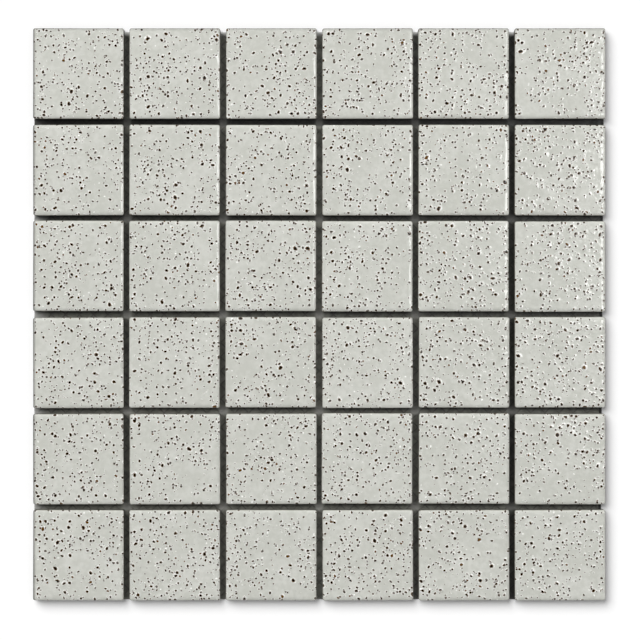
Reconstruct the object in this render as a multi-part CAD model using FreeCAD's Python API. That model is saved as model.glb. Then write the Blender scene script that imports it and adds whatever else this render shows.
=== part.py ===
import FreeCAD, Part
import math
import os
import random

# A mosaic sheet: glazed square tiles on a net backing, lying face up.
# X runs right and Y up as one looks down on the glaze, Z up out of the sheet.
# The origin is under the middle of the sheet, in the plane that it lies on.
# Sizes are in millimetres and degrees.

# Tile
tile_side = 48.0
tile_thickness = 6.0
tile_corner_radius = 1.0  # seen from above
tile_corner_flats = 4  # that stand for each corner's arc
cushion_width = 3.0  # how far in from the side the face begins to slope down
cushion_drop = 0.8  # how far the slope has fallen where it reaches the rim
cushion_flats = 3  # that stand for the slope's curve
rim_radius = 0.5  # of the round rim between the slope and the side
rim_flats = 2

# Grooves pressed into a tile's back, which key the adhesive
key_count = 3
key_depth = 0.4
key_rim = 5.0  # plain back left round the grooves
key_rib = 4.0  # and between two of them

# Layout
column_count = 6
row_count = 6
joint_width = 3.0

# Tiles are laid by hand in a tray: each is a little off its place
hand_shift = 0.22
hand_turn = 0.2
hand_seed = 4

# Net: two layers of glass strands laid across each other, on a closed film
strand_pitch = 5.3
strand_width = 0.7
strand_thickness = 0.2
strand_lean = 45.0  # of the first layer from X, and of the second the other way
strand_end_clearance = 1.0  # between the outermost strand and the backing's corner
film_thickness = 0.25

# The backing is cut flush with the tiles on the left and below, but a little short above and, askew, on the right
backing_short_above = 1.4
backing_short_right = 2.0  # at the bottom, and none at the top

# Places that follow from the sizes
pitch = tile_side + joint_width
sheet_width = column_count * pitch - joint_width
sheet_length = row_count * pitch - joint_width
lower_strand_z = film_thickness
upper_strand_z = lower_strand_z + strand_thickness
tile_z = upper_strand_z + strand_thickness
key_width = (tile_side - 2 * key_rim - (key_count - 1) * key_rib) / key_count


def flat_face(corners):
    """Flat face with these points as its corners."""
    return Part.Face(Part.makePolygon(corners + corners[:1]))


def at_height(points, z):
    return [FreeCAD.Vector(x, y, z) for x, y in points]


def tile_outline():
    """Points round a tile's side as seen from above, centred on the Z axis."""
    arc_centre = tile_side / 2 - tile_corner_radius
    points = []
    for quarter, (right, up) in enumerate([(1, 1), (-1, 1), (-1, -1), (1, -1)]):
        for flat in range(tile_corner_flats + 1):
            angle = math.radians(90 * (quarter + flat / tile_corner_flats))
            x = right * arc_centre + tile_corner_radius * math.cos(angle)
            y = up * arc_centre + tile_corner_radius * math.sin(angle)
            points.append((x, y))
    return points


def edge_profile():
    """Points (inset from the side, height) up the side, over the round rim and up the slope to the face."""
    rim_turn = math.pi / 2 - math.atan(2 * cushion_drop / cushion_width)
    rim_top = tile_thickness - cushion_drop
    rim_bottom = rim_top - rim_radius * math.sin(rim_turn)
    points = [(0, 0)]
    for flat in range(rim_flats):
        angle = rim_turn * flat / rim_flats
        points.append((rim_radius * (1 - math.cos(angle)), rim_bottom + rim_radius * math.sin(angle)))
    slope_start = rim_radius * (1 - math.cos(rim_turn))
    for flat in range(cushion_flats + 1):
        left = 1 - flat / cushion_flats
        inset = cushion_width - left * (cushion_width - slope_start)
        points.append((inset, tile_thickness - cushion_drop * left**2))
    return points


def tile_blank():
    """Tile whose face slopes down all round, like a cushion, to upright sides."""
    rings = []
    for inset, height in edge_profile():
        narrower = 1 - 2 * inset / tile_side
        points = [(x * narrower, y * narrower) for x, y in tile_outline()]
        rings.append(at_height(points, height))
    faces = [flat_face(rings[0]), flat_face(rings[-1])]
    for lower, upper in zip(rings, rings[1:]):
        for index in range(len(lower)):
            faces.append(flat_face([lower[index - 1], lower[index], upper[index], upper[index - 1]]))
    shell = Part.makeShell(faces)
    shell.sewShape()
    return Part.makeSolid(shell)


def key_grooves():
    """Closed grooves side by side across the tile's back."""
    edge = key_rim - tile_side / 2
    length = tile_side - 2 * key_rim
    grooves = []
    for index in range(key_count):
        corner = FreeCAD.Vector(edge, edge + index * (key_width + key_rib), 0)
        grooves.append(Part.makeBox(length, key_width, key_depth, corner))
    return Part.makeCompound(grooves)


def tile_place(row, column):
    """Where a tile lies, counted from the top left. The tray's sides hold the outer tiles in line."""
    hand = random.Random(f"{hand_seed} {row} {column}")
    aside, along, turned = (hand.uniform(-1, 1) for _ in range(3))
    if column in (1, column_count):
        aside = 0
    if row in (1, row_count):
        along = 0
    x = (column - (column_count + 1) / 2) * pitch + aside * hand_shift
    y = ((row_count + 1) / 2 - row) * pitch + along * hand_shift
    turn = FreeCAD.Rotation(FreeCAD.Vector(0, 0, 1), turned * hand_turn)
    return FreeCAD.Placement(FreeCAD.Vector(x, y, tile_z), turn)


def backing_points():
    """Corners of the backing, from the lower left round to the upper left."""
    right, bottom = sheet_width / 2, -sheet_length / 2
    top = sheet_length / 2 - backing_short_above
    return [
        (-right, bottom),
        (right - backing_short_right, bottom),
        (right, top),
        (-right, top),
    ]


def backing_layer(z, thickness):
    """Sheet of the backing's outline."""
    face = flat_face(at_height(backing_points(), z))
    return face.extrude(FreeCAD.Vector(0, 0, thickness))


def strand_layer(z, lean):
    """Parallel strands that lean from X, cut off at the backing's outline."""
    across = (-math.sin(math.radians(lean)), math.cos(math.radians(lean)))
    reaches = [x * across[0] + y * across[1] for x, y in backing_points()]
    first = math.ceil((min(reaches) + strand_end_clearance + strand_width / 2) / strand_pitch)
    last = math.floor((max(reaches) - strand_end_clearance - strand_width / 2) / strand_pitch)
    length = 2 * math.hypot(sheet_width, sheet_length)
    outline = backing_layer(z, strand_thickness)
    strands = []
    for index in range(first, last + 1):
        corner = FreeCAD.Vector(-length / 2, index * strand_pitch - strand_width / 2, z)
        strand = Part.makeBox(length, strand_width, strand_thickness, corner)
        strand.rotate(FreeCAD.Vector(0, 0, 0), FreeCAD.Vector(0, 0, 1), lean)
        strands += strand.common(outline).Solids
    return Part.makeCompound(strands)


def main():
    os.makedirs("parts", exist_ok=True)
    tile = tile_blank().cut(key_grooves())
    nodes = {
        "backing_film": backing_layer(0, film_thickness),
        "net_strands_lower": strand_layer(lower_strand_z, strand_lean),
        "net_strands_upper": strand_layer(upper_strand_z, -strand_lean),
    }
    for row in range(1, row_count + 1):
        for column in range(1, column_count + 1):
            laid = tile.copy()
            laid.Placement = tile_place(row, column)
            nodes[f"tile_r{row}_c{column}"] = laid
    for name, shape in nodes.items():
        shape.exportStep(f"parts/{name}.step")
        print(name, len(shape.Solids), "solids", round(shape.Volume, 1), "mm3")


main()
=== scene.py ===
import math
import bmesh
import bpy
from mathutils import Matrix, Vector, noise


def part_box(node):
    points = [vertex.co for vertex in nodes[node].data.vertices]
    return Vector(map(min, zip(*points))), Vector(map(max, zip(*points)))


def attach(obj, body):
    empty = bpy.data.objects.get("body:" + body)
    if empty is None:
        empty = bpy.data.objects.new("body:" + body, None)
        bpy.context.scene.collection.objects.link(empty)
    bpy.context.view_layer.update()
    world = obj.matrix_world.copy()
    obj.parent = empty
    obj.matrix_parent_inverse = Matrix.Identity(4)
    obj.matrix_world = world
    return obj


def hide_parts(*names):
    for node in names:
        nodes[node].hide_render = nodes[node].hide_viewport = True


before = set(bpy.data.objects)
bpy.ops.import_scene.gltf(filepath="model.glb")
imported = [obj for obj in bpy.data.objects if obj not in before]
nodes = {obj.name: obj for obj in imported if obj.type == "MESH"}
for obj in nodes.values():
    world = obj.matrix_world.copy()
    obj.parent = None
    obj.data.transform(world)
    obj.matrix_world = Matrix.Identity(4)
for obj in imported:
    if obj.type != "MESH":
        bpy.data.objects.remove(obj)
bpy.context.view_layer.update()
scene = bpy.context.scene
print("frame loaded,", len(nodes), "nodes")


# Shader helpers: each adds a node or two to a tree and hands back what the next one needs

def feed(tree, socket, value):
    if isinstance(value, bpy.types.NodeSocket):
        tree.links.new(value, socket)
    else:
        socket.default_value = value


def calc(tree, operation, *values):
    node = tree.nodes.new("ShaderNodeMath")
    node.operation = operation
    for socket, value in zip(node.inputs, values):
        feed(tree, socket, value)
    return node.outputs[0]


def vectorCalc(tree, operation, *values):
    node = tree.nodes.new("ShaderNodeVectorMath")
    node.operation = operation
    for socket, value in zip(node.inputs, values):
        feed(tree, socket, value)
    return node.outputs["Value"] if operation == "LENGTH" else node.outputs["Vector"]


def axes(tree, vector):
    # Outputs "X", "Y" and "Z"
    node = tree.nodes.new("ShaderNodeSeparateXYZ")
    feed(tree, node.inputs["Vector"], vector)
    return node.outputs


def chances(tree, colour):
    # Outputs "Red", "Green" and "Blue" of a random colour: three random numbers from 0 to 1
    node = tree.nodes.new("ShaderNodeSeparateColor")
    feed(tree, node.inputs["Color"], colour)
    return node.outputs


def turn(tree, vector, angle):
    # About the Z axis, in radians
    node = tree.nodes.new("ShaderNodeVectorRotate")
    node.rotation_type = "Z_AXIS"
    feed(tree, node.inputs["Vector"], vector)
    feed(tree, node.inputs["Angle"], angle)
    return node.outputs["Vector"]


def fade(tree, value, low, high, lowResult=0.0, highResult=1.0):
    node = tree.nodes.new("ShaderNodeMapRange")
    node.interpolation_type = "SMOOTHSTEP"
    for name, setting in (("Value", value), ("From Min", low), ("From Max", high),
                          ("To Min", lowResult), ("To Max", highResult)):
        feed(tree, node.inputs[name], setting)
    return node.outputs["Result"]


def blendColours(tree, share, first, second, how="MIX"):
    node = tree.nodes.new("ShaderNodeMix")
    node.data_type = "RGBA"
    node.blend_type = how
    colours = [socket for socket in node.inputs if socket.type == "RGBA"]
    feed(tree, node.inputs["Factor"], share)
    feed(tree, colours[0], first)
    feed(tree, colours[1], second)
    return next(socket for socket in node.outputs if socket.type == "RGBA")


def millimetres(tree):
    # Object coordinates in millimetres, the same on every piece
    coordinates = tree.nodes.new("ShaderNodeTexCoord")
    return vectorCalc(tree, "MULTIPLY", coordinates.outputs["Object"], (1000, 1000, 1000))


def cloud(tree, place, size, detail, output="Fac"):
    # Noise with lumps about this many millimetres across
    node = tree.nodes.new("ShaderNodeTexNoise")
    feed(tree, node.inputs["Vector"], place)
    node.inputs["Scale"].default_value = 1 / size
    node.inputs["Detail"].default_value = detail
    return node.outputs[output]


def mottle(tree, place, pattern):
    # Noise that goes from the first to the second result between two of its own values
    lumps = cloud(tree, place, pattern["size"], pattern["detail"])
    return fade(tree, lumps, *pattern["between"], *pattern["result"])


def newMaterial(name):
    material = bpy.data.materials.new(name)
    material.use_nodes = True
    return material, material.node_tree, material.node_tree.nodes["Principled BSDF"]


def addBump(tree, shader, height):
    # The height is in millimetres
    bump = tree.nodes.new("ShaderNodeBump")
    bump.inputs["Distance"].default_value = 0.001
    feed(tree, bump.inputs["Height"], height)
    tree.links.new(bump.outputs["Normal"], shader.inputs["Normal"])


# Places on the laid sheet, in millimetres, that the painted shade and light on glaze and backing follow

sheet = {
    "pitch": 51.0,
    "halfSide": 151.5,
    "backingTop": 150.1,
    "backingRight": (149.5, 151.5),  # at the bottom and at the top
}


# Glaze: pale and glossy, with iron specks in it that stand up a little, thin and dark over the rim.
# Its lengths are in millimetres, and the reaches round a speck in radii of the speck.

glaze = {
    "colour": (0.549, 0.555, 0.506, 1),
    "paleColour": (0.676, 0.679, 0.636, 1),  # in the mottling
    "mottling": {"size": 2.5, "detail": 3.0, "between": (0.34, 0.68), "result": (0.0, 0.45)},
    "broadMottling": {"size": 16.0, "detail": 2.0, "between": (0.35, 0.65), "result": (-0.16, 0.16)},
    "roughness": 0.11,
    "refraction": 1.6,
    "peelSize": 2.0,
    "peelDetail": 1.5,
    "peelHeight": 0.1,
    "swellSize": 5.0,
    "swellHeight": 0.2,
    "crowding": {"size": 9.0, "detail": 1.0, "between": (0.36, 0.64), "result": (0.35, 1.65)},
    "wobbleSize": 1.0,
    "wobble": 0.9,  # by which a speck's outline and place stray
    "speckCore": (0.004, 0.002, 0.001, 1),
    "speckRim": (0.125, 0.058, 0.006, 1),
    "rustySpeck": (0.1, 0.045, 0.008, 1),
    "rustyShare": 0.04,
    "speckRoughness": 0.22,
    "coreReach": (0.5, 1.0),
    "inkReach": (0.95, 1.15),
    "haloHighlightColour": (0.88, 0.88, 0.85, 1),
    "haloHighlightStrength": 0.6,  # of the pale ring round each speck, in part a painted highlight
    "haloReach": (1.25, 2.2),
    "haloPatches": {"size": 0.9, "detail": 1.0, "between": (0.44, 0.6), "result": (0.35, 1.45)},
    "leftShade": 0.27,  # painted shade at the sheet's left and upper edges
    "leftShadeWidth": 1.8,
    "topShade": 0.62,
    "topShadeWidth": 2.2,
    "thinColour": (0.15, 0.142, 0.11, 1),
    "thinHeights": (5.45, 6.18),  # down which the glaze grows thin over the rim
    "thinRaggedness": 0.3,
    "bareHeights": (4.3, 4.9),  # down which it gives way to the bare body
    "bareRaggedness": 2.0,
    "raggedSize": 3.5,
    "bodyColour": (0.06, 0.057, 0.045, 1),
    "bodyGrain": {"size": 0.5, "detail": 4.0, "between": (0.3, 0.7), "result": (0.7, 1.3)},
    "bodyRoughness": 0.85,
}

# Layers of specks, in millimetres: spacing of the cells, share of them that hold a speck, least and greatest
# radius, how solid the colour is, reach and height of the mound, and how far the cells are shifted
speckLayers = [
    {"cell": 7.0, "share": 0.2, "radius": (0.54, 0.9), "solid": (1.0, 1.0),
     "mound": 2.1, "lift": 0.27, "shift": (0, 0)},
    {"cell": 4.6, "share": 0.5, "radius": (0.44, 0.72), "solid": (1.0, 1.0),
     "mound": 1.7, "lift": 0.25, "shift": (31, 21.7)},
    {"cell": 3.1, "share": 0.6, "radius": (0.34, 0.58), "solid": (0.85, 1.0),
     "mound": 1.2, "lift": 0.13, "shift": (77, 53.9)},
    {"cell": 2.4, "share": 0.32, "radius": (0.22, 0.4), "solid": (0.4, 1.0),
     "mound": 0.8, "lift": 0.05, "shift": (143, 100.1)},
]

# Pale pinpoints scattered over the glaze
pinpoints = {
    "cell": 2.7, "share": 0.07, "radius": (0.25, 0.5), "solid": (0.45, 1.0), "shift": (211, 147.7),
    "reach": (0.8, 1.15),
    "colour": (0.95, 0.95, 0.92, 1),
}

speckShape = {
    "smallness": 1.6,  # the higher, the more of the specks are near the least radius
    "stretch": 0.35,  # share by which the slimmest speck is narrower than it is long
    "outOfSight": 20.0,  # added to the distances in a cell that holds no speck
}


def specks(tree, place, layer):
    # Distance to the cell's speck in speck radii and in millimetres, and the speck's own random number
    shifted = vectorCalc(tree, "ADD", place, (*layer["shift"], 0))
    cells = tree.nodes.new("ShaderNodeTexVoronoi")
    cells.voronoi_dimensions = "2D"
    feed(tree, cells.inputs["Vector"], shifted)
    cells.inputs["Scale"].default_value = 1 / layer["cell"]
    dice = tree.nodes.new("ShaderNodeTexWhiteNoise")
    dice.noise_dimensions = "2D"
    feed(tree, dice.inputs["Vector"], cells.outputs["Position"])
    chance = chances(tree, cells.outputs["Color"])
    further = chances(tree, dice.outputs["Color"])

    least, greatest = layer["radius"]
    size = calc(tree, "POWER", chance["Green"], speckShape["smallness"])
    radius = calc(tree, "MULTIPLY_ADD", size, greatest - least, least)
    offset = vectorCalc(tree, "SUBTRACT", shifted, cells.outputs["Position"])
    offset = turn(tree, offset, calc(tree, "MULTIPLY", chance["Blue"], 2 * math.pi))
    level = tree.nodes.new("ShaderNodeCombineXYZ")  # leaves the height out, and narrows the offset along X
    feed(tree, level.inputs["X"], calc(tree, "MULTIPLY_ADD", further["Red"], -speckShape["stretch"], 1.0))
    feed(tree, level.inputs["Y"], 1.0)
    offset = vectorCalc(tree, "MULTIPLY", offset, level.outputs["Vector"])
    distance = vectorCalc(tree, "LENGTH", offset)

    share = calc(tree, "MULTIPLY", mottle(tree, place, glaze["crowding"]), layer["share"])
    away = calc(tree, "GREATER_THAN", chance["Red"], share)
    away = calc(tree, "MULTIPLY", away, speckShape["outOfSight"])
    reach = calc(tree, "ADD", calc(tree, "DIVIDE", distance, radius), away)
    return reach, calc(tree, "ADD", distance, away), further["Blue"]


def solidness(tree, layer, reach, window, chance):
    # How far a speck's colour covers what is under it
    faint, full = layer["solid"]
    strength = calc(tree, "MULTIPLY_ADD", chance, full - faint, faint)
    return calc(tree, "MULTIPLY", fade(tree, reach, *window, 1.0, 0.0), strength)


def speckled(tree, place, colour, height):
    # Pinpoints, then the specks from the smallest layer to the largest, on a colour and a height
    wobble = cloud(tree, place, glaze["wobbleSize"], 2.0, output="Color")
    wobble = vectorCalc(tree, "SUBTRACT", wobble, (0.5, 0.5, 0.5))
    wobble = vectorCalc(tree, "MULTIPLY", wobble, (glaze["wobble"], glaze["wobble"], 0.0))
    wavy = vectorCalc(tree, "ADD", place, wobble)
    reach, distance, chance = specks(tree, wavy, pinpoints)
    pale = solidness(tree, pinpoints, reach, pinpoints["reach"], chance)
    colour = blendColours(tree, pale, colour, pinpoints["colour"])

    patchy = mottle(tree, place, glaze["haloPatches"])
    ink = 0.0
    for layer in reversed(speckLayers):
        reach, distance, chance = specks(tree, wavy, layer)
        # a pale ring round each speck, in part a painted highlight
        halo = fade(tree, reach, *glaze["haloReach"], glaze["haloHighlightStrength"] * layer["solid"][1], 0.0)
        colour = blendColours(tree, calc(tree, "MULTIPLY", halo, patchy), colour, glaze["haloHighlightColour"])
        rusty = calc(tree, "GREATER_THAN", chance, 1 - glaze["rustyShare"])
        core = blendColours(tree, rusty, glaze["speckCore"], glaze["rustySpeck"])
        speckColour = blendColours(tree, fade(tree, reach, *glaze["coreReach"]), core, glaze["speckRim"])
        cover = solidness(tree, layer, reach, glaze["inkReach"], chance)
        colour = blendColours(tree, cover, colour, speckColour)
        ink = calc(tree, "MAXIMUM", ink, cover)
        height = calc(tree, "ADD", height, fade(tree, distance, 0.0, layer["mound"], layer["lift"], 0.0))
    return colour, height, ink


def shadeAtSheetEdges(tree, at, colour):
    # Painted shade: darker along the sheet's left and upper edges
    fromLeft = calc(tree, "ADD", at["X"], sheet["halfSide"])
    fromTop = calc(tree, "SUBTRACT", sheet["halfSide"], at["Y"])
    left = fade(tree, fromLeft, 0.0, glaze["leftShadeWidth"], glaze["leftShade"], 1.0)
    top = fade(tree, fromTop, 0.0, glaze["topShadeWidth"], glaze["topShade"], 1.0)
    return blendColours(tree, 1.0, colour, calc(tree, "MINIMUM", left, top), "MULTIPLY")


def glazeMaterial():
    material, tree, shader = newMaterial("speckledGlaze")
    place = millimetres(tree)
    at = axes(tree, place)
    mottling = [mottle(tree, place, glaze[name]) for name in ("mottling", "broadMottling")]
    colour = blendColours(tree, calc(tree, "ADD", *mottling), glaze["colour"], glaze["paleColour"])
    peel = cloud(tree, place, glaze["peelSize"], glaze["peelDetail"])
    swell = cloud(tree, place, glaze["swellSize"], 0.0)
    height = calc(tree, "MULTIPLY", peel, glaze["peelHeight"])
    height = calc(tree, "MULTIPLY_ADD", swell, glaze["swellHeight"], height)
    colour, height, ink = speckled(tree, place, colour, height)

    ragged = calc(tree, "SUBTRACT", cloud(tree, place, glaze["raggedSize"], 3.0), 0.5)
    thin = calc(tree, "MULTIPLY_ADD", ragged, glaze["thinRaggedness"], at["Z"])
    thin = fade(tree, thin, *glaze["thinHeights"], 1.0, 0.0)
    # the glaze thin over the rim, then painted shade along the sheet's left and upper edges
    colour = shadeAtSheetEdges(tree, at, blendColours(tree, thin, colour, glaze["thinColour"]))
    bare = calc(tree, "MULTIPLY_ADD", ragged, glaze["bareRaggedness"], at["Z"])
    bare = fade(tree, bare, *glaze["bareHeights"], 1.0, 0.0)
    clay = blendColours(tree, 1.0, glaze["bodyColour"], mottle(tree, place, glaze["bodyGrain"]), "MULTIPLY")
    tree.links.new(blendColours(tree, bare, colour, clay), shader.inputs["Base Color"])

    smooth, dull = glaze["roughness"], glaze["speckRoughness"]
    roughness = calc(tree, "MULTIPLY_ADD", ink, dull - smooth, smooth)
    roughness = fade(tree, bare, 0.0, 1.0, roughness, glaze["bodyRoughness"])
    tree.links.new(roughness, shader.inputs["Roughness"])
    shader.inputs["IOR"].default_value = glaze["refraction"]
    addBump(tree, shader, height)
    return material


# Tile: the CAD tile's outline, slope and round rim in finer steps, with a face that waves a little.
# In metres.

tile = {
    "side": 0.048,
    "thickness": 0.006,
    "cornerRadius": 0.001,
    "cushionWidth": 0.003,
    "cushionDrop": 0.0008,
    "cushionCurve": 3,  # power by which the slope falls
    "rimRadius": 0.0005,
    "keyRim": 0.005,  # grooves in the back
    "keyRib": 0.004,
    "keyDepth": 0.0004,
    "keyCount": 3,
    "faceCells": 56,
    "slopeRings": 9,
    "rimRings": 4,
    "creaseAngle": 40,
    "waveSize": 0.009,
    "rippleSize": 0.00405,
    "waveHeight": 0.00005,
    "waveShares": (0.35, 0.15),  # of the height, for waves and ripples
    "waveOnset": 12,  # the higher, the nearer to the sides the waves reach in full
    "crown": 0.00008,
    "crownCurve": 3,
}
tiny = 1e-6  # less than any real distance between two points


def tileRings():
    # Inset from the side and height of each ring, from the face outwards and down
    bend = math.pi / 2 - math.atan(tile["cushionCurve"] * tile["cushionDrop"] / tile["cushionWidth"])
    rimBottom = tile["thickness"] - tile["cushionDrop"] - tile["rimRadius"] * math.sin(bend)
    slopeEnd = tile["rimRadius"] * (1 - math.cos(bend))
    rings = []
    for ring in range(tile["slopeRings"] + 1):
        share = ring / tile["slopeRings"]
        inset = tile["cushionWidth"] - share * (tile["cushionWidth"] - slopeEnd)
        rings.append((inset, tile["thickness"] - tile["cushionDrop"] * share ** tile["cushionCurve"]))
    for ring in range(1, tile["rimRings"] + 1):
        angle = bend * (1 - ring / tile["rimRings"])
        inset = tile["rimRadius"] * (1 - math.cos(angle))
        rings.append((inset, rimBottom + tile["rimRadius"] * math.sin(angle)))
    return rings + [(0, 0)]


def cutGrooves(work, back):
    # Cuts the back along the grooves' sides and lifts the faces between them
    edge = tile["side"] / 2 - tile["keyRim"]
    width = (2 * edge - (tile["keyCount"] - 1) * tile["keyRib"]) / tile["keyCount"]
    starts = [index * (width + tile["keyRib"]) - edge for index in range(tile["keyCount"])]
    sides = [side for start in starts for side in (start, start + width)]
    cuts = [(Vector((place, 0, 0)), Vector((1, 0, 0))) for place in (-edge, edge)]
    cuts += [(Vector((0, place, 0)), Vector((0, 1, 0))) for place in sides]
    faces = [back]
    for place, across in cuts:
        parts = list(dict.fromkeys(part for f in faces for part in (f, *f.edges, *f.verts)))
        bmesh.ops.bisect_plane(work, geom=parts, dist=tiny, plane_co=place, plane_no=across)
        faces = [f for f in work.faces if f.calc_center_median().z < tiny]
    grooves = [f for f in faces if abs(f.calc_center_median().x) < edge
               and any(start < f.calc_center_median().y < start + width for start in starts)]
    lifted = bmesh.ops.extrude_face_region(work, geom=grooves)["geom"]
    bmesh.ops.translate(work, verts=[v for v in lifted if isinstance(v, bmesh.types.BMVert)],
                        vec=(0, 0, tile["keyDepth"]))


def tileBlank():
    work = bmesh.new()
    cells, half = tile["faceCells"], tile["side"] / 2
    bmesh.ops.create_grid(work, x_segments=cells, y_segments=cells, size=half)
    arcCentre = half - tile["cornerRadius"]
    for vert in work.verts:  # the square's corners drawn in to arcs
        out = Vector((max(abs(vert.co.x) - arcCentre, 0), max(abs(vert.co.y) - arcCentre, 0)))
        if out.x and out.y:
            out *= max(out) / out.length
            vert.co.x = math.copysign(arcCentre + out.x, vert.co.x)
            vert.co.y = math.copysign(arcCentre + out.y, vert.co.y)
    rings = [(1 - 2 * inset / tile["side"], height) for inset, height in tileRings()]
    narrower, height = rings[0]
    bmesh.ops.scale(work, vec=(narrower, narrower, 1), verts=work.verts)
    bmesh.ops.translate(work, vec=(0, 0, height), verts=work.verts)
    edges = [edge for edge in work.edges if edge.is_boundary]
    for (before, beforeHeight), (narrower, height) in zip(rings, rings[1:]):
        made = bmesh.ops.extrude_edge_only(work, edges=edges)["geom"]
        verts = [item for item in made if isinstance(item, bmesh.types.BMVert)]
        bmesh.ops.scale(work, vec=(narrower / before, narrower / before, 1), verts=verts)
        bmesh.ops.translate(work, vec=(0, 0, height - beforeHeight), verts=verts)
        edges = [item for item in made if isinstance(item, bmesh.types.BMEdge) and item.is_boundary]
    back = bmesh.ops.contextual_create(work, geom=edges)["faces"][0]
    cutGrooves(work, back)
    bmesh.ops.recalc_face_normals(work, faces=work.faces)
    for face in work.faces:
        face.smooth = True
    for edge in work.edges:
        edge.smooth = edge.calc_face_angle(0) < math.radians(tile["creaseAngle"])
    return work


def tilePlace(node):
    # Where the CAD tile lies, and how far it is turned, from the side that faces +X
    low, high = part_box(node)
    sides = [face for face in nodes[node].data.polygons if face.normal.x > 0.9]
    side = max(sides, key=lambda face: face.area)
    middle = (low + high) / 2
    angle = math.atan2(side.normal.y, side.normal.x)
    return Matrix.Translation((middle.x, middle.y, low.z)) @ Matrix.Rotation(angle, 4, "Z")


def waveFace(work, place):
    # The fired face isn't quite flat: it sinks in shallow waves and falls away a little to its edges
    half = tile["side"] / 2
    waveShare, rippleShare = tile["waveShares"]
    for vert in work.verts:
        if vert.co.z > tile["thickness"] - tile["cushionDrop"]:
            across = max(abs(vert.co.x), abs(vert.co.y)) / half
            spot = place @ vert.co
            wave = noise.noise(Vector((spot.x, spot.y, 0)) / tile["waveSize"])
            ripple = noise.noise(Vector((spot.x, spot.y, 0.1)) / tile["rippleSize"])
            sink = tile["waveHeight"] * (0.5 + waveShare * wave + rippleShare * ripple)
            sink += tile["crown"] * across ** tile["crownCurve"]
            vert.co.z -= sink * min(1, (1 - across) * tile["waveOnset"])


def makeTiles(material):
    blank = tileBlank()
    tileNodes = [node for node in sorted(nodes) if node.startswith("tile_r")]
    for node in tileNodes:
        place = tilePlace(node)
        work = blank.copy()
        waveFace(work, place)
        bmesh.ops.transform(work, matrix=place, verts=work.verts)
        row, column = node[len("tile_r"):].split("_c")
        mesh = bpy.data.meshes.new(f"tileRow{row}Column{column}")
        work.to_mesh(mesh)
        work.free()
        mesh.materials.append(material)
        piece = bpy.data.objects.new(mesh.name, mesh)
        scene.collection.objects.link(piece)
        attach(piece, "root")
        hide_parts(node)
    blank.free()
    print(len(tileNodes), "tiles laid")


# Net and film under the tiles, which show in the joints. Lengths and places are in millimetres.

backing = {
    "filmColour": (0.152, 0.152, 0.128, 1),
    "filmPale": (0.222, 0.222, 0.19, 1),
    "filmPatches": {"size": 3.0, "detail": 3.0, "between": (0.35, 0.7), "result": (0.0, 1.0)},
    "filmRoughness": (0.6, 0.45),  # of the dark patches and of the pale
    "filmLumpSize": 1.2,
    "filmLumpHeight": 0.12,
    "strandLean": 45,  # of the lower strands, and of the upper ones the other way
    "strandColour": (0.09, 0.09, 0.076, 1),
    "strandPale": (0.15, 0.15, 0.13, 1),
    "strandRoughness": 0.55,
    "fibreSize": 0.22,
    "fibreStretch": (0.12, 1, 1),  # draws the fibres out along the strand
    "fibreContrast": (0.35, 0.65),
    "fibreHeight": 0.05,
    "jointFade": (1.2, 3.0),  # from a joint's middle line: its painted shade fades from the first to the second
    # Painted shade of the upright and the level joints: the axis that each changes along, from and to where,
    # and the tone at either end
    "uprightShade": [("X", (0.0, 115.0), (1.0, 0.25)), ("X", (-130.0, 0.0), (0.65, 1.0))],
    "levelShade": [("Y", (-60.0, 130.0), (0.98, 0.05)), ("X", (-100.0, 150.0), (1.0, 0.75))],
    # painted light where the joints cross
    "crossingLightColour": (0.34, 0.336, 0.312, 1),
    "crossingLightShare": 0.62,
    "crossingRelief": 0.5,  # share of the joints' painted shade taken off where they cross
    # painted light at the film's left and upper ends, where the joints lie open
    "edgeLightColour": (0.66, 0.66, 0.64, 1),
    "leftLightWidth": 9.0,
    "leftLightShare": 0.48,
    "leftLightRun": ((60.0, 100.0), (1.0, 0.15)),  # along Y: it grows faint towards the top
    "topLightWidth": 2.8,
    "topLightShare": 0.95,
    "rightEdgeColour": (0.004, 0.003, 0.002, 1),
    "rightEdgeFade": (1.2, 1.7),  # from the right edge, likewise
}


def jointsPaintedShade(tree, at, colour):
    # Painted shade: darker in the upright joints away from the middle and in the level ones towards the top,
    # and painted light where they cross
    nearUpright, nearLevel = (
        fade(tree, calc(tree, "PINGPONG", at[axis], sheet["pitch"] / 2), *backing["jointFade"], 1.0, 0.0)
        for axis in ("X", "Y"))
    crossing = calc(tree, "MULTIPLY", nearUpright, nearLevel)
    # painted light where the joints cross
    crossingLight = calc(tree, "MULTIPLY", crossing, backing["crossingLightShare"])
    colour = blendColours(tree, crossingLight, colour, backing["crossingLightColour"])
    # painted shade along each joint, lifted where the joints cross
    for near, tones in ((nearUpright, backing["uprightShade"]), (nearLevel, backing["levelShade"])):
        tone = calc(tree, "MULTIPLY", *(fade(tree, at[axis], *run, *ends) for axis, run, ends in tones))
        share = calc(tree, "MULTIPLY_ADD", crossing, -backing["crossingRelief"], near)
        colour = blendColours(tree, 1.0, colour, calc(tree, "POWER", tone, share), "MULTIPLY")
    return colour


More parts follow.
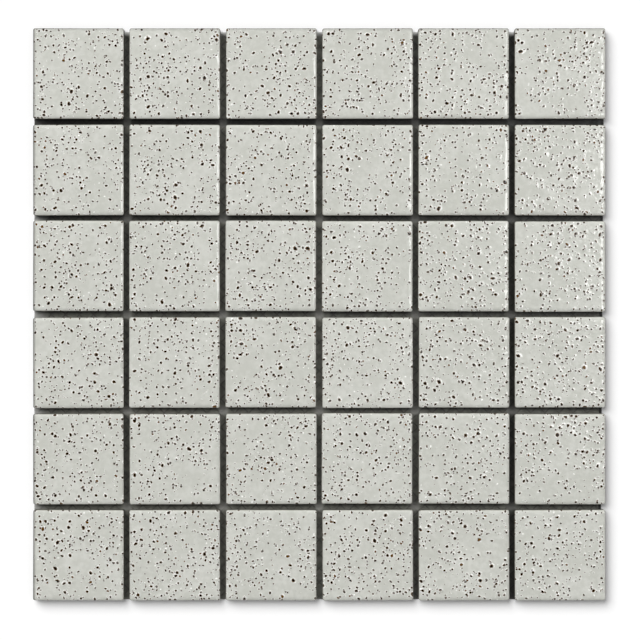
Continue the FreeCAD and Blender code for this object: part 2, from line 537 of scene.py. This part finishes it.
def edgesLitAndDark(tree, at, colour):
    # Painted light at the left and upper ends, which show paler, and darker along the right edge
    fromLeft = calc(tree, "ADD", at["X"], sheet["halfSide"])
    fromTop = calc(tree, "SUBTRACT", sheet["backingTop"], at["Y"])
    run, ends = backing["leftLightRun"]
    left = fade(tree, fromLeft, 0.0, backing["leftLightWidth"], backing["leftLightShare"], 0.0)
    left = calc(tree, "MULTIPLY", left, fade(tree, at["Y"], *run, *ends))
    top = fade(tree, fromTop, 0.0, backing["topLightWidth"], backing["topLightShare"], 0.0)
    colour = blendColours(tree, calc(tree, "MAXIMUM", left, top), colour, backing["edgeLightColour"])

    # darker along the film's right edge
    low, high = sheet["backingRight"]
    slant = (high - low) / (sheet["backingTop"] + sheet["halfSide"])
    edge = calc(tree, "MULTIPLY_ADD", at["Y"], slant, low + slant * sheet["halfSide"])
    rightEdgeDark = fade(tree, calc(tree, "SUBTRACT", edge, at["X"]), *backing["rightEdgeFade"], 1.0, 0.0)
    return blendColours(tree, rightEdgeDark, colour, backing["rightEdgeColour"])


# Painted shade in the joints and painted light at the film's ends, over the film's and the strands' colour
def paintedShadeAndLight(tree, place, colour):
    at = axes(tree, place)
    return edgesLitAndDark(tree, at, jointsPaintedShade(tree, at, colour))


def filmMaterial():
    material, tree, shader = newMaterial("adhesiveFilm")
    place = millimetres(tree)
    patches = mottle(tree, place, backing["filmPatches"])
    colour = blendColours(tree, patches, backing["filmColour"], backing["filmPale"])
    tree.links.new(paintedShadeAndLight(tree, place, colour), shader.inputs["Base Color"])
    roughness = fade(tree, patches, 0.0, 1.0, *backing["filmRoughness"])
    tree.links.new(roughness, shader.inputs["Roughness"])
    lumps = cloud(tree, place, backing["filmLumpSize"], 3.0)
    addBump(tree, shader, calc(tree, "MULTIPLY", lumps, backing["filmLumpHeight"]))
    return material


def strandMaterial(name, lean):
    material, tree, shader = newMaterial(name)
    place = millimetres(tree)
    along = vectorCalc(tree, "MULTIPLY", turn(tree, place, -math.radians(lean)), backing["fibreStretch"])
    fibres = cloud(tree, along, backing["fibreSize"], 2.0)
    pale = fade(tree, fibres, *backing["fibreContrast"])
    colour = blendColours(tree, pale, backing["strandColour"], backing["strandPale"])
    tree.links.new(paintedShadeAndLight(tree, place, colour), shader.inputs["Base Color"])
    shader.inputs["Roughness"].default_value = backing["strandRoughness"]
    addBump(tree, shader, calc(tree, "MULTIPLY", fibres, backing["fibreHeight"]))
    return material


def paintNode(node, material):
    nodes[node].data.materials.clear()
    nodes[node].data.materials.append(material)


# Studio: white floor and world, two soft keys on the sheet, a sun for its shadow on the floor, and a softbox
# on the right that the glaze mirrors. In metres.

studio = {
    "ambient": 0.27,
    "ceiling": 0.04,  # as the glaze mirrors it
    "wallTop": (0.35, 0.7),  # sines of the elevations between which the white walls that it mirrors end
    "wallRise": 0.4,  # how much higher the wall beyond the sheet's upper edge stands
    "leftKeyFrom": (-2.25, 2.0, 4.0),
    "leftKeyStrength": 2.22,
    "rightKeyFrom": (1.08, 1.26, 2.5),
    "rightKeyStrength": 1.35,
    "keySpread": 0.68,  # width as a share of the distance
    "floorKeyFrom": (-0.42, 0.5, 0.76),
    "floorKeyStrength": 3.0,
    "floorKeyAngle": 50,
    "softboxAt": (0.545, 0.135, 0.778),
    "softboxSize": (0.24, 0.5),  # level, and up its slope
    "softboxRadiance": 7.5,
    "floorReach": 8,
    "floorColour": (0.98, 0.98, 0.98, 1),
    "floorRoughness": 0.9,
    "floorGlow": 0.06,
    "cameraAt": (0.0004, -0.003, 1.2067),  # straight above, looking down
    "lensLength": 127.6,  # in millimetres, on a sensor 36 wide
}


def makeFloor():
    work = bmesh.new()
    bmesh.ops.create_grid(work, x_segments=1, y_segments=1, size=studio["floorReach"])
    mesh = bpy.data.meshes.new("studioFloor")
    work.to_mesh(mesh)
    work.free()
    floor = bpy.data.objects.new("studioFloor", mesh)
    scene.collection.objects.link(floor)
    material, tree, shader = newMaterial("studioFloor")
    shader.inputs["Base Color"].default_value = studio["floorColour"]
    shader.inputs["Roughness"].default_value = studio["floorRoughness"]
    shader.inputs["Specular IOR Level"].default_value = 0.0
    shader.inputs["Emission Color"].default_value = (1, 1, 1, 1)
    path = tree.nodes.new("ShaderNodeLightPath")
    seen = calc(tree, "MAXIMUM", path.outputs["Is Camera Ray"], path.outputs["Is Glossy Ray"])
    tree.links.new(calc(tree, "MULTIPLY", seen, studio["floorGlow"]), shader.inputs["Emission Strength"])
    mesh.materials.append(material)


def makeWorld():
    world = bpy.data.worlds.new("studioWorld")
    scene.world = world
    world.use_nodes = True
    tree = world.node_tree
    background = tree.nodes["Background"]
    background.inputs["Color"].default_value = (1, 1, 1, 1)
    path = tree.nodes.new("ShaderNodeLightPath")
    at = axes(tree, tree.nodes.new("ShaderNodeTexCoord").outputs["Generated"])
    rise = calc(tree, "MULTIPLY", calc(tree, "MAXIMUM", at["Y"], 0.0), -studio["wallRise"])
    walls = fade(tree, calc(tree, "ADD", at["Z"], rise), *studio["wallTop"], 1.0, 0.0)
    mirrored = calc(tree, "MAXIMUM", path.outputs["Is Glossy Ray"], path.outputs["Is Transmission Ray"])
    white = calc(tree, "MAXIMUM", path.outputs["Is Camera Ray"], calc(tree, "MULTIPLY", mirrored, walls))
    dim = calc(tree, "MULTIPLY_ADD", mirrored, studio["ceiling"] - studio["ambient"], studio["ambient"])
    tree.links.new(calc(tree, "MAXIMUM", white, dim), background.inputs["Strength"])


def makeLamp(name, kind, place, lit):
    data = bpy.data.lights.new(name, kind)
    lamp = bpy.data.objects.new(name, data)
    lamp.location = place
    lamp.rotation_mode = "QUATERNION"
    lamp.rotation_quaternion = Vector(place).to_track_quat("Z", "Y")
    lamp.visible_camera = False
    lamp.light_linking.receiver_collection = lit
    scene.collection.objects.link(lamp)
    return lamp, data


def makeLights():
    mosaic = bpy.data.collections.new("mosaicSheet")
    ground = bpy.data.collections.new("studioGround")
    for item in [item for item in scene.collection.objects if item.type == "MESH"]:
        (ground if item.name == "studioFloor" else mosaic).objects.link(item)
    for name in ("leftKey", "rightKey"):
        lamp, key = makeLamp(name, "AREA", studio[name + "From"], mosaic)
        key.shape = "DISK"
        key.size = studio["keySpread"] * lamp.location.length
        key.energy = studio[name + "Strength"] * math.pi * lamp.location.length_squared
        lamp.visible_glossy = False  # the keys light the sheet, and the softbox is what the glaze mirrors
    lamp, key = makeLamp("floorKey", "SUN", studio["floorKeyFrom"], ground)
    key.energy = studio["floorKeyStrength"]
    key.angle = math.radians(studio["floorKeyAngle"])
    lamp, box = makeLamp("softbox", "AREA", studio["softboxAt"], mosaic)
    box.shape = "RECTANGLE"
    box.size, box.size_y = studio["softboxSize"]
    box.energy = studio["softboxRadiance"] * math.pi * box.size * box.size_y
    lamp.visible_diffuse = False


def makeCamera():
    lens = bpy.data.cameras.new("camera")
    lens.sensor_width = 36
    lens.lens = studio["lensLength"]
    lens.clip_end = 50
    camera = bpy.data.objects.new("camera", lens)
    camera.location = studio["cameraAt"]
    scene.collection.objects.link(camera)
    scene.camera = camera


makeTiles(glazeMaterial())
paintNode("backing_film", filmMaterial())
paintNode("net_strands_lower", strandMaterial("lowerStrands", backing["strandLean"]))
paintNode("net_strands_upper", strandMaterial("upperStrands", -backing["strandLean"]))
print("net and film finished")
makeFloor()
makeWorld()
makeLights()
makeCamera()
scene.view_settings.view_transform = "Standard"
print("studio set up")
